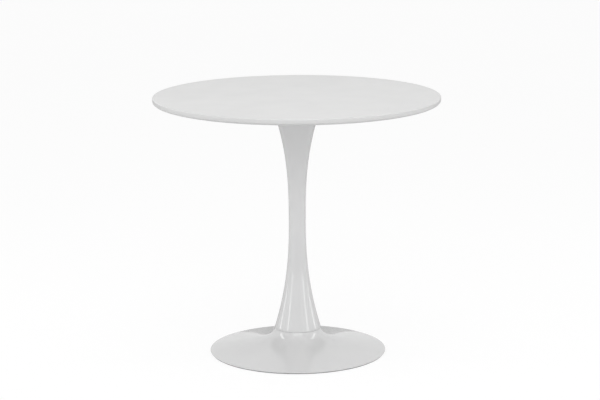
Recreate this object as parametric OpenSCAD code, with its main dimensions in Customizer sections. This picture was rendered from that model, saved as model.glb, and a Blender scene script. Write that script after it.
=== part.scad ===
// Round pedestal table: a lacquered board on a waisted steel column that flares into a shallow,
// weighted steel base. Millimetres, +Z up, origin on the floor under the middle of the board.

/* [Table] */
// Height of the tabletop's upper face above the floor
table_h = 730; // [560:1:900]
// Diameter of the tabletop
top_d = 800; // [500:1:1200]

/* [Tabletop] */
// Thickness of the board
top_t = 18; // [15:1:32]
// Radius of the upper edge
top_edge_r = 3; // [1:0.5:5]
// Height of the edge, from the upper face down to where its underside starts to curve in
edge_h = 9; // [6:0.5:14]
// How far the edge's underside curves in
under_in = 16; // [6:1:40]

/* [Mounting plate] */
// Diameter of the steel plate under the board
plate_d = 280; // [220:1:400]
// Thickness of the plate
plate_t = 5; // [5:0.5:10]
// Diameter of the hole in the middle of the plate and of the column's two flanges
core_hole_d = 30; // [20:1:40]
// Number of screws that hold the board
board_screws_n = 8; // [4:1:12]
// Distance of the board screws from the plate's rim
board_screw_edge = 18; // [14:1:24]
// Length of the board screws, under the head
board_screw_l = 16; // [14:1:20]
// Length of the threaded inserts
insert_l = 12; // [8:1:14]
// Outer diameter of the threaded inserts
insert_d = 9; // [8:0.5:12]

/* [Column] */
// Outer diameter of the column at its top
column_top_d = 144; // [120:1:160]
// Outer diameter of the column at its waist
waist_d = 47.5; // [36:0.5:70]
// Height of the waist above the floor
waist_z = 380; // [250:1:460]
// Outer diameter where the column meets the base
neck_d = 131; // [110:1:160]
// Wall of the column
column_wall = 2; // [1.5:0.5:4]
// Thickness of the flange welded in the top of the column
top_flange_t = 8; // [6:1:12]
// Thickness of the flange welded in the foot of the column
foot_flange_t = 10; // [8:1:14]

/* [Base] */
// Diameter of the base
base_d = 496; // [410:1:700]
// Height of the seam between the column and the base
neck_z = 67; // [60:1:110]
// Sheet thickness of the base
base_sheet = 2; // [1.5:0.5:3]
// Width of the hem folded under the rim
hem_w = 9.5; // [8:0.5:14]
// Thickness of the rim, hem included
rim_t = 2.7; // [2.5:0.1:4]
// Height of the soft trim that the rim stands on
trim_h = 2.5; // [2:0.1:4]
// Thickness of the hub plate welded in the neck of the base
hub_t = 8; // [6:1:12]

/* [Weight and cover] */
// Inner diameter of the iron weight
weight_hole_d = 180; // [160:1:190]
// Greatest thickness of the weight
weight_t = 15; // [12:1:24]
// How far the weight stops short of the cover's edge
weight_in = 30; // [24:1:50]
// How far the cover under the base stops short of the hem
cover_in = 18; // [12:1:30]
// Diameter of the opening in the cover, through which the neck bolts are reached
cover_hole_d = 124; // [110:1:150]
// Thickness of the cover
cover_t = 2; // [1.5:0.5:3]
// Number of screws that hold the cover
cover_screws_n = 6; // [3:1:8]
// Distance of the cover screws from the weight's rim
cover_screw_edge = 24; // [18:1:28]

/* [Fasteners] */
// Bolts through the plate, and bolts through the neck
bolts_n = 4; // [3:1:6]
// Pitch circle of the plate bolts and the neck bolts
bolt_pcd = 84; // [70:1:90]
// Number of studs that hold the weight
studs_n = 4; // [3:1:6]
// Distance of the studs from the edge of the hole in the weight
stud_edge = 25; // [20:1:30]

/* [Hidden] */

// Drawing fineness: steps along each long curve, steps round a small arc
curve_steps = 18;
arc_steps = 6;
round_fn = 96;
small_fn = 32;

// Clearances
thread_gap = 0.05;       // radial, a screw in its thread
shank_gap = 0.4;         // radial, a screw in a plain hole
spigot_gap = 0.15;       // radial, the column's spigot in the hub plate
seam_gap = 0.4;          // between the column's foot and the top of the base
cover_gap = 0.3;         // least gap between the cover's edge and the sheet above it
stud_end_gap = 0.3;      // between the stud's end and the cover
eps = 0.01;              // a cut's overrun

// Standard fasteners: [thread diameter, head diameter or width over flats, head height]
m8_countersunk = [8, 16, 4.4];
m8_hex = [8, 13, 5.3];
m6_pan = [6, 12, 3.6];
m4_pan = [4, 8, 2.2];
m6_nut = [6, 10, 5];
// Washers: [outer diameter, hole diameter, thickness]
m6_washer = [12, 6.4, 1.6];
m8_washer = [16, 8.4, 1.6];
m8_spring_washer = [14.4, 8.4, 2];
plate_bolt_l = 16;       // head included
neck_bolt_l = 25;        // under the head
cover_screw_l = 8;       // under the head
screw_run_out = 1;       // a blind hole goes this far past the screw in it
spring_cut_w = 1.2;      // slit of a spring washer
countersink_depth = 0.2; // the countersunk head sits this far under the plate's face

// Heights, from the floor up
rim_z = trim_h;
rim_top_z = rim_z + rim_t;
cover_z = rim_z + 1.1;
weight_z = cover_z + cover_t;
hub_top_z = neck_z - 1.2;
foot_flange_z = hub_top_z;
column_z = neck_z + seam_gap / 2;
base_top_z = neck_z - seam_gap / 2;
board_z = table_h - top_t;
plate_z = board_z - plate_t;
insert_hole_l = max(insert_l, board_screw_l - m6_washer[2] - plate_t + screw_run_out);

// Radii
top_r = top_d / 2;
base_r = base_d / 2;
neck_r = neck_d / 2;
nose_r = rim_t / 2;
hem_r = base_r - hem_w;
cover_r = hem_r - cover_in;
weight_r = cover_r - weight_in;
board_pcd = plate_d - 2 * board_screw_edge;
stud_pcd = weight_hole_d + 2 * stud_edge;
cover_pcd = 2 * (weight_r - cover_screw_edge);
spigot_r = core_hole_d / 2;
spigot_l = 5;
spigot_wall = 4;
trim_edge_in = 2.5;      // the trim's outer face, in from the rim
trim_lip_w = 2.5;        // the trim's lip, inside the hem
trim_lip_h = 1.4;        // how far that lip rises behind the hem
trim_chamfer = 0.6;

// How the outline's curves leave their ends: the column's lean from upright at its top and at its
// foot, the base's lean at its neck, its rise inwards from the rim, and how far each end pulls its curve
top_lean = 20.8;
foot_lean = 17;
neck_lean = 21.5;
rim_slope = 10.5;
upper_pull = [0.29, 0.40];   // [waist, top], as shares of the upper curve's height
lower_pull = [0.25, 0.44];   // [waist, foot], as shares of the lower curve's height
neck_pull = 36;
rim_pull = 136;

// Cubic curve, its direction, and a point set off square to it by d
function bez(p, t) =
    pow(1 - t, 3) * p[0] + 3 * pow(1 - t, 2) * t * p[1] + 3 * (1 - t) * t * t * p[2] + t * t * t * p[3];
function bez_dir(p, t) =
    let (v = pow(1 - t, 2) * (p[1] - p[0]) + 2 * (1 - t) * t * (p[2] - p[1]) + t * t * (p[3] - p[2]))
    v / norm(v);
function bez_off(p, t, d) = let (v = bez_dir(p, t)) bez(p, t) + d * [v[1], -v[0]];
// The same, but set off level, so that the height stays
function bez_off_level(p, t, d) = bez(p, t) - [d / abs(bez_dir(p, t)[1]), 0];

// Column outline, in two curves that meet upright at the waist
upper_h = plate_z - waist_z;
upper_curve = [
    [waist_d / 2, waist_z],
    [waist_d / 2, waist_z + upper_pull[0] * upper_h],
    [column_top_d / 2, plate_z] - upper_pull[1] * upper_h * [sin(top_lean), cos(top_lean)],
    [column_top_d / 2, plate_z],
];
lower_h = waist_z - column_z;
lower_curve = [
    [neck_r, column_z],
    [neck_r, column_z] + lower_pull[1] * lower_h * [-sin(foot_lean), cos(foot_lean)],
    [waist_d / 2, waist_z - lower_pull[0] * lower_h],
    [waist_d / 2, waist_z],
];
function column_curve(d) = concat(
    [for (i = [0 : curve_steps - 1]) bez_off_level(lower_curve, i / curve_steps, d)],
    [for (i = [0 : curve_steps]) bez_off_level(upper_curve, i / curve_steps, d)]
);

// Base outline, from the neck out to the rim
base_curve = [
    [neck_r, base_top_z],
    [neck_r, base_top_z] + neck_pull * [sin(neck_lean), -cos(neck_lean)],
    [base_r - nose_r, rim_top_z] + rim_pull * [-cos(rim_slope), sin(rim_slope)],
    [base_r - nose_r, rim_top_z],
];
function sheet_curve(d) = [for (i = [0 : curve_steps]) bez_off(base_curve, i / curve_steps, d)];
function inside_hem(points) = [for (p = points) if (p[0] < hem_r) p];
// Height of the sheet's inner face above the hem's inner edge, between the two nearest points
hem_points = sheet_curve(base_sheet);
hem_i = max([for (i = [0 : curve_steps]) if (hem_points[i][0] < hem_r) i]);
hem_top_z = let (a = hem_points[hem_i], b = hem_points[min(hem_i + 1, curve_steps)])
    a[1] + (b[1] - a[1]) * (hem_r - a[0]) / max(b[0] - a[0], eps);

function reversed(list) = [for (i = [len(list) - 1 : -1 : 0]) list[i]];
function arc(centre, r, from, to, steps = arc_steps) =
    [for (i = [0 : steps]) let (a = from + (to - from) * i / steps) centre + r * [cos(a), sin(a)]];

// ---- shared shapes ----

module ring_of(count, pcd, start = 0) {
    for (i = [0 : count - 1]) rotate(start + 360 / count * i) translate([pcd / 2, 0, 0]) children();
}

module lathe(points) {
    rotate_extrude($fn = round_fn) polygon(points);
}

// A hole right through, from one height to another
module hole(d, from, to) {
    translate([0, 0, from - eps]) cylinder(d = d, h = to - from + 2 * eps, $fn = small_fn);
}

// A hole that is open below and ends at a height
module pocket(d, from, to) {
    translate([0, 0, from - eps]) cylinder(d = d, h = to - from + eps, $fn = small_fn);
}

// A washer that lies on z = 0
module washer(size) {
    difference() {
        cylinder(d = size[0], h = size[2], $fn = small_fn);
        hole(size[1], 0, size[2]);
    }
}

module spring_washer(size) {
    difference() {
        washer(size);
        rotate([0, 0, 20]) translate([0, -spring_cut_w / 2, -eps])
            cube([size[0], spring_cut_w, size[2] + 2 * eps]);
    }
}

// A pan-head screw with a cross recess: the head hangs under z = 0, the shank rises
module pan_screw(size, l) {
    head_r = size[1] / 2;
    head_h = size[2];
    recess_w = size[0] * 0.2;
    recess_l = size[0] * 0.95;
    difference() {
        union() {
            lathe(concat(
                [[0, 0], [head_r, 0], [head_r, -head_h * 0.35]],
                [for (i = [1 : arc_steps]) let (a = 90 * i / arc_steps)
                    [head_r * (0.45 + 0.55 * cos(a)), -head_h * (0.35 + 0.65 * sin(a))]],
                [[0, -head_h]]
            ));
            cylinder(d = size[0], h = l, $fn = small_fn);
        }
        for (a = [0, 90]) rotate(a) translate([-recess_l / 2, -recess_w / 2, -head_h - eps])
            cube([recess_l, recess_w, head_h * 0.6]);
    }
}

// A hexagon bolt: the head hangs under z = 0, the shank rises
module hex_bolt(size, l) {
    head_r = size[1] / 2 / cos(30);
    chamfer = 0.9;
    intersection() {
        translate([0, 0, -size[2]]) cylinder(r = head_r, h = size[2], $fn = 6);
        lathe([[0, 0], [head_r + eps, 0], [head_r + eps, -size[2] + chamfer],
            [head_r - 1.7 * chamfer, -size[2]], [0, -size[2]]]);
    }
    cylinder(d = size[0], h = l, $fn = small_fn);
}

// A countersunk socket screw: its head's face is at z = 0, the shank goes down
module countersunk_screw(size, l) {
    socket_w = size[0] * 0.62;
    socket_depth = size[2] * 0.65;
    difference() {
        union() {
            translate([0, 0, -size[2]])
                cylinder(d1 = size[0], d2 = size[1], h = size[2], $fn = small_fn);
            translate([0, 0, -l]) cylinder(d = size[0], h = l - size[2] + eps, $fn = small_fn);
        }
        translate([0, 0, -socket_depth]) cylinder(d = socket_w / cos(30), h = socket_depth + eps, $fn = 6);
    }
}

// The space inside the column
module column_space() {
    lathe(concat([[0, column_z]], column_curve(column_wall), [[0, plate_z]]));
}

// The space under the base's sheet, kept clear of the sheet by gap
module base_space(gap = 0) {
    curve = inside_hem(sheet_curve(base_sheet + gap));
    lathe(concat(
        [[0, curve[0][1]]],
        curve,
        [[curve[len(curve) - 1][0], rim_z], [0, rim_z]]
    ));
}

// ---- the board and what holds it ----

module tabletop() {
    edge_z = table_h - edge_h;
    under = [for (i = [0 : arc_steps]) let (a = 90 * i / arc_steps)
        [top_r - under_in + under_in * sin(a), board_z + (edge_z - board_z) * (1 - cos(a))]];
    color("whitesmoke") difference() {
        lathe(concat(
            [[0, board_z]],
            under,
            arc([top_r - top_edge_r, table_h - top_edge_r], top_edge_r, 0, 90),
            [[0, table_h]]
        ));
        ring_of(board_screws_n, board_pcd) pocket(insert_d, board_z, board_z + insert_hole_l);
    }
}

module threaded_inserts() {
    color("goldenrod") ring_of(board_screws_n, board_pcd) translate([0, 0, board_z]) difference() {
        cylinder(d = insert_d, h = insert_l, $fn = small_fn);
        hole(m6_pan[0] + 2 * thread_gap, 0, insert_l);
    }
}

module mounting_plate() {
    chamfer = 0.8;
    plate_r = plate_d / 2;
    sink = m8_countersunk[2] + countersink_depth;
    flare = (m8_countersunk[1] - m8_countersunk[0]) / m8_countersunk[2];
    color("white") difference() {
        lathe([[core_hole_d / 2, plate_z], [plate_r - chamfer, plate_z], [plate_r, plate_z + chamfer],
            [plate_r, board_z - chamfer], [plate_r - chamfer, board_z], [core_hole_d / 2, board_z]]);
        ring_of(board_screws_n, board_pcd) hole(m6_pan[0] + 2 * shank_gap, plate_z, board_z);
        ring_of(bolts_n, bolt_pcd) {
            hole(m8_countersunk[0] + 2 * shank_gap, plate_z, board_z);
            translate([0, 0, board_z - sink]) cylinder(
                d1 = m8_countersunk[0], d2 = m8_countersunk[0] + flare * (sink + eps),
                h = sink + eps, $fn = small_fn);
        }
    }
}

module board_screw_washers() {
    color("silver") ring_of(board_screws_n, board_pcd)
        translate([0, 0, plate_z - m6_washer[2]]) washer(m6_washer);
}

module board_screws() {
    color("silver") ring_of(board_screws_n, board_pcd)
        translate([0, 0, plate_z - m6_washer[2]]) pan_screw(m6_pan, board_screw_l);
}

module plate_bolts() {
    color("dimgray") ring_of(bolts_n, bolt_pcd)
        translate([0, 0, board_z - countersink_depth]) countersunk_screw(m8_countersunk, plate_bolt_l);
}

// ---- the column ----

module column_shell() {
    color("white") lathe(concat(column_curve(0), reversed(column_curve(column_wall))));
}

module column_top_flange() {
    z = plate_z - top_flange_t;
    color("gray") difference() {
        intersection() {
            column_space();
            translate([0, 0, z]) cylinder(d = column_top_d, h = top_flange_t, $fn = round_fn);
        }
        hole(core_hole_d, z, plate_z);
        ring_of(bolts_n, bolt_pcd) hole(m8_countersunk[0] + 2 * thread_gap, z, plate_z);
    }
}

// The foot flange has a short spigot that centres it in the hub plate
module column_foot_flange() {
    top = foot_flange_z + foot_flange_t;
    step_r = neck_r - column_wall - 0.6;
    color("gray") difference() {
        union() {
            intersection() {
                column_space();
                translate([0, 0, column_z]) cylinder(r = neck_r, h = top - column_z, $fn = round_fn);
            }
            translate([0, 0, foot_flange_z])
                cylinder(r = step_r, h = column_z - foot_flange_z + 1, $fn = round_fn);
            translate([0, 0, foot_flange_z - spigot_l])
                cylinder(r = spigot_r - spigot_gap, h = spigot_l + 1, $fn = round_fn);
        }
        hole(2 * (spigot_r - spigot_wall), foot_flange_z - spigot_l, top);
        ring_of(bolts_n, bolt_pcd) hole(m8_hex[0] + 2 * thread_gap, foot_flange_z, top);
    }
}

// ---- the base ----

module base_shell() {
    nose_centre = [base_r - nose_r, rim_z + nose_r];
    color("white") lathe(concat(
        sheet_curve(0),
        arc(nose_centre, nose_r, 75, -90),
        [[hem_r, rim_z], [hem_r, hem_top_z]],
        reversed(inside_hem(hem_points))
    ));
}

module hub_plate() {
    z = hub_top_z - hub_t;
    color("gray") difference() {
        intersection() {
            base_space();
            translate([0, 0, z]) cylinder(d = base_d, h = hub_t, $fn = round_fn);
        }
        hole(core_hole_d, z, hub_top_z);
        ring_of(bolts_n, bolt_pcd) hole(m8_hex[0] + 2 * shank_gap, z, hub_top_z);
    }
}

module neck_stack(below) {
    ring_of(bolts_n, bolt_pcd) translate([0, 0, hub_top_z - hub_t - below]) children();
}

module neck_flat_washers() {
    color("silver") neck_stack(m8_washer[2]) washer(m8_washer);
}

module neck_spring_washers() {
    color("silver") neck_stack(m8_washer[2] + m8_spring_washer[2]) spring_washer(m8_spring_washer);
}

module neck_bolts() {
    color("silver") neck_stack(m8_washer[2] + m8_spring_washer[2]) hex_bolt(m8_hex, neck_bolt_l);
}

// ---- the weight, the cover and the trim ----

nut_pocket_d = 18;
nut_pocket_z = weight_z + stud_end_gap + m6_nut[2] + m6_washer[2];

module weight_ring() {
    color("darkslategray") difference() {
        intersection() {
            base_space();
            translate([0, 0, weight_z]) cylinder(r = weight_r, h = weight_t, $fn = round_fn);
        }
        translate([0, 0, weight_z - eps]) cylinder(d = weight_hole_d, h = weight_t + 2 * eps, $fn = round_fn);
        ring_of(studs_n, stud_pcd, 45) {
            hole(m6_nut[0] + 2 * shank_gap, weight_z, weight_z + weight_t);
            pocket(nut_pocket_d, weight_z, nut_pocket_z);
        }
        ring_of(cover_screws_n, cover_pcd, 15)
            pocket(m4_pan[0] + 2 * thread_gap, weight_z, cover_z + cover_screw_l + screw_run_out);
    }
}

module weight_studs() {
    color("silver") intersection() {
        ring_of(studs_n, stud_pcd, 45) translate([0, 0, weight_z + stud_end_gap])
            cylinder(d = m6_nut[0], h = neck_z, $fn = small_fn);
        base_space();
    }
}

module weight_washers() {
    color("silver") ring_of(studs_n, stud_pcd, 45)
        translate([0, 0, nut_pocket_z - m6_washer[2]]) washer(m6_washer);
}

module weight_nuts() {
    z = weight_z + stud_end_gap;
    color("silver") ring_of(studs_n, stud_pcd, 45) translate([0, 0, z]) difference() {
        cylinder(d = m6_nut[1] / cos(30), h = m6_nut[2], $fn = 6);
        hole(m6_nut[0] + 2 * thread_gap, 0, m6_nut[2]);
    }
}

// A flat ring with a bead round both of its edges
module bottom_cover() {
    bead_w = 2.4;
    bead_h = 0.6;
    inner = cover_hole_d / 2;
    color("#202020") difference() {
        intersection() {
            lathe([
                [inner, cover_z - bead_h], [inner + bead_w, cover_z - bead_h],
                [inner + bead_w + bead_h, cover_z], [cover_r - bead_w - bead_h, cover_z],
                [cover_r - bead_w, cover_z - bead_h], [cover_r, cover_z - bead_h],
                [cover_r, cover_z + cover_t], [inner, cover_z + cover_t],
            ]);
            base_space(cover_gap);
        }
        ring_of(cover_screws_n, cover_pcd, 15) hole(m4_pan[0] + 2 * shank_gap, cover_z, cover_z + cover_t);
    }
}

module cover_screws() {
    color("silver") ring_of(cover_screws_n, cover_pcd, 15)
        translate([0, 0, cover_z]) pan_screw(m4_pan, cover_screw_l);
}

module floor_trim() {
    outer = base_r - trim_edge_in;
    lip = hem_r - trim_lip_w;
    color("lightgray") lathe([
        [lip, trim_chamfer], [lip + trim_chamfer, 0], [outer - trim_chamfer, 0], [outer, trim_chamfer],
        [outer, rim_z], [hem_r, rim_z], [hem_r, rim_z + trim_lip_h], [lip, rim_z + trim_lip_h],
    ]);
}

tabletop();
threaded_inserts();
mounting_plate();
board_screws();
board_screw_washers();
plate_bolts();
column_shell();
column_top_flange();
column_foot_flange();
base_shell();
hub_plate();
neck_bolts();
neck_spring_washers();
neck_flat_washers();
weight_ring();
weight_studs();
weight_washers();
weight_nuts();
bottom_cover();
cover_screws();
floor_trim();
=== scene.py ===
# %% [markdown]
# # A round pedestal table
#
# The real table is a lacquered board, a column spun from sheet steel, and a shallow base spun from the same
# sheet, with an iron weight hidden inside it. Nothing on it moves. Almost every piece is round, so almost
# every piece here is a *lathe* piece: an outline, swung once round the upright axis.
#
# The engineering model, called the frame, already fixes every size. This script keeps those sizes and adds
# what an engineering model leaves out: curves with no facets, rounded edges, paint, plating and light.

import math

import bmesh
import bpy
from mathutils import Matrix, Vector


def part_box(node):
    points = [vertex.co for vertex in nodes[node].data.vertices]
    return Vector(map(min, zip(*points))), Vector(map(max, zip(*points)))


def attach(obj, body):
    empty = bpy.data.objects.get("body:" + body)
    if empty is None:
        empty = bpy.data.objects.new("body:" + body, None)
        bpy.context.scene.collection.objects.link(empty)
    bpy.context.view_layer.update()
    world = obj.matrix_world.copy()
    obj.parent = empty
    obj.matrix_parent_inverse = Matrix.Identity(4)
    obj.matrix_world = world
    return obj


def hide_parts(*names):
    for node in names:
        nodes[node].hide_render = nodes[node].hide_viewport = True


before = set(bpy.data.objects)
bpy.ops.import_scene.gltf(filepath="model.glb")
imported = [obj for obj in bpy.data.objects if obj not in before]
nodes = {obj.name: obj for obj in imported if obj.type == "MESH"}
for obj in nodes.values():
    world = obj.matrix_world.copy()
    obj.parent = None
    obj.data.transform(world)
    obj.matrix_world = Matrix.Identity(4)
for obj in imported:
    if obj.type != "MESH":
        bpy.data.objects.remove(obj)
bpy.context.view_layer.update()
MM = 0.001

# %% [markdown]
# ## The camera
#
# A long lens from far away draws little perspective: the far half of each circle looks nearly like its near
# half, which suits a table that is all circles. The camera stands well above the board and looks slightly
# down, so the top shows as a thin oval and the base as a rounder one.

# %% Camera
CAMERA_AWAY = 5.693
CAMERA_HEIGHT = 1.617
CAMERA_DOWN = math.radians(11.735)
CAMERA_YAW = math.radians(-0.080)
CAMERA_ROLL = math.radians(-0.272)
LENS_MM = 124.54

camera_data = bpy.data.cameras.new("camera")
camera_data.lens = LENS_MM
camera = bpy.data.objects.new("camera", camera_data)
camera.location = (0, -CAMERA_AWAY, CAMERA_HEIGHT)
turn = (Matrix.Rotation(CAMERA_YAW, 3, "Z") @ Matrix.Rotation(math.pi / 2 - CAMERA_DOWN, 3, "X")
        @ Matrix.Rotation(CAMERA_ROLL, 3, "Z"))
camera.rotation_euler = turn.to_euler()
bpy.context.scene.collection.objects.link(camera)
bpy.context.scene.camera = camera
print("camera:", LENS_MM, "mm lens,", CAMERA_AWAY, "m away,", CAMERA_HEIGHT, "m up")

# %% [markdown]
# ## Writing node trees as formulas
#
# Both geometry and materials are made with node trees below. Linking nodes one by one hides the idea behind
# them, so a small class stands for "the value that comes out of this socket". Adding or multiplying two such
# values places a Math node, and a formula in the script still reads as a formula.


# %% Flow: a value that runs between nodes
class Flow:
    def __init__(self, tree, socket):
        self.tree = tree
        self.socket = socket

    def math(self, operation, *others):
        node = self.tree.nodes.new("ShaderNodeMath")
        node.operation = operation
        for place, value in enumerate((self, *others)):
            plug(self.tree, node.inputs[place], value)
        return Flow(self.tree, node.outputs[0])

    def __add__(self, other):
        return self.math("ADD", other)

    def __sub__(self, other):
        return self.math("SUBTRACT", other)

    def __mul__(self, other):
        return self.math("MULTIPLY", other)

    def __truediv__(self, other):
        return self.math("DIVIDE", other)


def plug(tree, socket, value):
    """Links a Flow into a socket, or sets the socket to a plain value."""
    if isinstance(value, Flow):
        tree.links.new(value.socket, socket)
    else:
        socket.default_value = value


print("Flow values can be added, subtracted, multiplied and divided")

# %% [markdown]
# A tree also needs its nodes and its named inputs and outputs. One helper adds a node with all its settings
# in one call, and two more open a node group and close it.

# %% Helpers that build trees


def add(tree, kind, inputs=None, out=0, **settings):
    """Adds a node, makes its settings, fills its inputs by name or number, and returns one output."""
    node = tree.nodes.new(kind)
    for name, value in settings.items():
        setattr(node, name, value)
    for key, value in (inputs or {}).items():
        plug(tree, node.inputs[key], value)
    return Flow(tree, node.outputs[out])


def new_tree(name, kind, inputs, outputs):
    """A node group with named sockets. Returns it and a Flow for each input, by name."""
    tree = bpy.data.node_groups.new(name, kind)
    for label, socket_type, default in inputs:
        socket = tree.interface.new_socket(label, in_out="INPUT", socket_type=socket_type)
        if default is not None:
            socket.default_value = default
    for label, socket_type in outputs:
        tree.interface.new_socket(label, in_out="OUTPUT", socket_type=socket_type)
    group_in = tree.nodes.new("NodeGroupInput")
    tree.nodes.new("NodeGroupOutput")
    return tree, {label: Flow(tree, group_in.outputs[label]) for label, _, _ in inputs}


def finish_tree(tree, **results):
    """Links results to the group's outputs, by name with _ for a space."""
    output = next(n for n in tree.nodes if n.bl_idname == "NodeGroupOutput")
    for label, value in results.items():
        plug(tree, output.inputs[label.replace("_", " ")], value)


print("node helpers ready")

# %% [markdown]
# ## The lathe
#
# A spun or turned part is its outline swung round an axis. Blender has a Screw modifier for that, but here
# the lathe is a Geometry Nodes group, because the same group then serves every round piece. It lays out a
# grid with one column for each step round the axis and one row for each point of the outline, moves each
# grid point to where the outline puts it, and merges the points that meet at the seam and on the axis.

# %% Lathe group
FLOAT, INT = "NodeSocketFloat", "NodeSocketInt"
GEOMETRY, MATERIAL, OBJECT = "NodeSocketGeometry", "NodeSocketMaterial", "NodeSocketObject"
MERGE_WITHIN = 0.002 * MM


def make_lathe_group():
    tree, get = new_tree("Lathe", "GeometryNodeTree",
                         [("Outline", GEOMETRY, None), ("Steps", INT, 96)], [("Mesh", GEOMETRY)])
    points = add(tree, "GeometryNodeCurveToPoints", {"Curve": get["Outline"]}, mode="EVALUATED")
    rows = add(tree, "GeometryNodeAttributeDomainSize", {"Geometry": points}, component="POINTCLOUD")
    grid = add(tree, "GeometryNodeMeshGrid", {"Vertices X": get["Steps"] + 1, "Vertices Y": rows})
    index = add(tree, "GeometryNodeInputIndex")
    row = index.math("MODULO", rows)
    step = (index / rows).math("FLOOR")
    place = add(tree, "GeometryNodeSampleIndex",
                {"Geometry": points, "Value": add(tree, "GeometryNodeInputPosition"), "Index": row},
                data_type="FLOAT_VECTOR", domain="POINT")
    parts = tree.nodes.new("ShaderNodeSeparateXYZ")
    plug(tree, parts.inputs[0], place)
    radius, height = Flow(tree, parts.outputs["X"]), Flow(tree, parts.outputs["Z"])
    angle = step * math.tau / get["Steps"]
    turned = add(tree, "ShaderNodeCombineXYZ", {
        "X": radius * angle.math("COSINE"), "Y": radius * angle.math("SINE"), "Z": height})
    moved = add(tree, "GeometryNodeSetPosition", {"Geometry": grid, "Position": turned})
    merged = add(tree, "GeometryNodeMergeByDistance", {"Geometry": moved, "Distance": MERGE_WITHIN})
    finish_tree(tree, Mesh=add(tree, "GeometryNodeSetShadeSmooth", {"Geometry": merged}))
    return tree


lathe_group = make_lathe_group()


def lathe_nodes(tree, outline, steps, material):
    """Places the lathe group in a tree, then the two nodes every tree here ends in."""
    mesh = add(tree, "GeometryNodeGroup", node_tree=lathe_group)
    plug(tree, mesh.socket.node.inputs["Outline"], outline)
    plug(tree, mesh.socket.node.inputs["Steps"], steps)
    real = add(tree, "GeometryNodeRealizeInstances", {"Geometry": mesh})
    return add(tree, "GeometryNodeSetMaterial", {"Geometry": real, "Material": material})


print("lathe group:", len(lathe_group.nodes), "nodes")

# %% [markdown]
# ## From a node tree to a plain piece
#
# A modifier is handy while a shape is being worked out, but a finished piece should be an ordinary mesh.
# The next helper hangs a tree on an empty mesh, sets its inputs, reads the result back as a mesh, and
# throws the modifier away. It also makes faces point outwards and keeps true corners sharp: edges that bend
# by more than SHARP_OVER stay crisp, and the rest is shaded smooth.

# %% Evaluate a tree to a piece
SHARP_OVER = math.radians(34)


def new_object(name, mesh):
    piece = bpy.data.objects.new(name, mesh)
    bpy.context.scene.collection.objects.link(piece)
    return piece


def tidy_normals(mesh):
    """Merges what touches, turns faces outwards and keeps corners sharp."""
    work = bmesh.new()
    work.from_mesh(mesh)
    bmesh.ops.remove_doubles(work, verts=work.verts, dist=MERGE_WITHIN)
    bmesh.ops.dissolve_degenerate(work, edges=work.edges, dist=MERGE_WITHIN)
    bmesh.ops.recalc_face_normals(work, faces=work.faces)
    open_edges = sum(not e.is_manifold for e in work.edges)
    work.to_mesh(mesh)
    work.free()
    mesh.shade_smooth()
    mesh.set_sharp_from_angle(angle=SHARP_OVER)
    return open_edges


def piece_from_tree(name, tree, **inputs):
    """Runs a Geometry Nodes tree once and keeps the result as a plain mesh object."""
    holder = new_object(name + "_maker", bpy.data.meshes.new(name + "_maker"))
    modifier = holder.modifiers.new("maker", "NODES")
    modifier.node_group = tree
    for item in tree.interface.items_tree:
        key = item.name.replace(" ", "_").lower()
        if item.in_out == "INPUT" and key in inputs:
            modifier[item.identifier] = inputs[key]
    graph = bpy.context.evaluated_depsgraph_get()
    mesh = bpy.data.meshes.new_from_object(holder.evaluated_get(graph), depsgraph=graph)
    mesh.name = name
    bpy.data.objects.remove(holder)
    open_edges = tidy_normals(mesh)
    piece = new_object(name, mesh)
    size = [round(v / MM, 1) for v in piece.dimensions]
    print(f"{name}: {len(mesh.polygons)} faces, {size} mm, {open_edges} open edges")
    return piece


# %% [markdown]
# ## Materials, first as names
#
# The trees need to know which material they hand out, so every finish is created here as an empty material
# and gets its nodes further down, once all the shapes exist.

# %% Name the finishes
FINISHES = ["satin_lacquer", "gloss_powder_coat", "plate_paint", "zinc_plate", "black_oxide", "oiled_steel",
            "turned_brass", "primed_iron", "moulded_black_plastic", "soft_clear_trim"]
finish = {name: bpy.data.materials.new(name) for name in FINISHES}
print("finishes:", ", ".join(finish))

# %% [markdown]
# ## The column
#
# The column is steel sheet spun over a former. Its outline is two curves that meet upright at the waist: the
# lower one runs out to the foot, the upper one to the plate under the board. Each is one cubic Bezier, whose
# handles say how strongly the curve holds its direction at either end. All of that lives in one tree with
# named inputs, so the waist can be moved and the rest follows.

# %% Column tree
LOWER_PULL = (0.25, 0.44)    # reach of the handles at the waist and at the foot, as a share of the height
UPPER_PULL = (0.29, 0.40)    # the same at the waist and at the top
QUARTER = 0.5523             # reach of the handles of a quarter circle, as a share of its radius
EDGE_STEPS = 6


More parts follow.
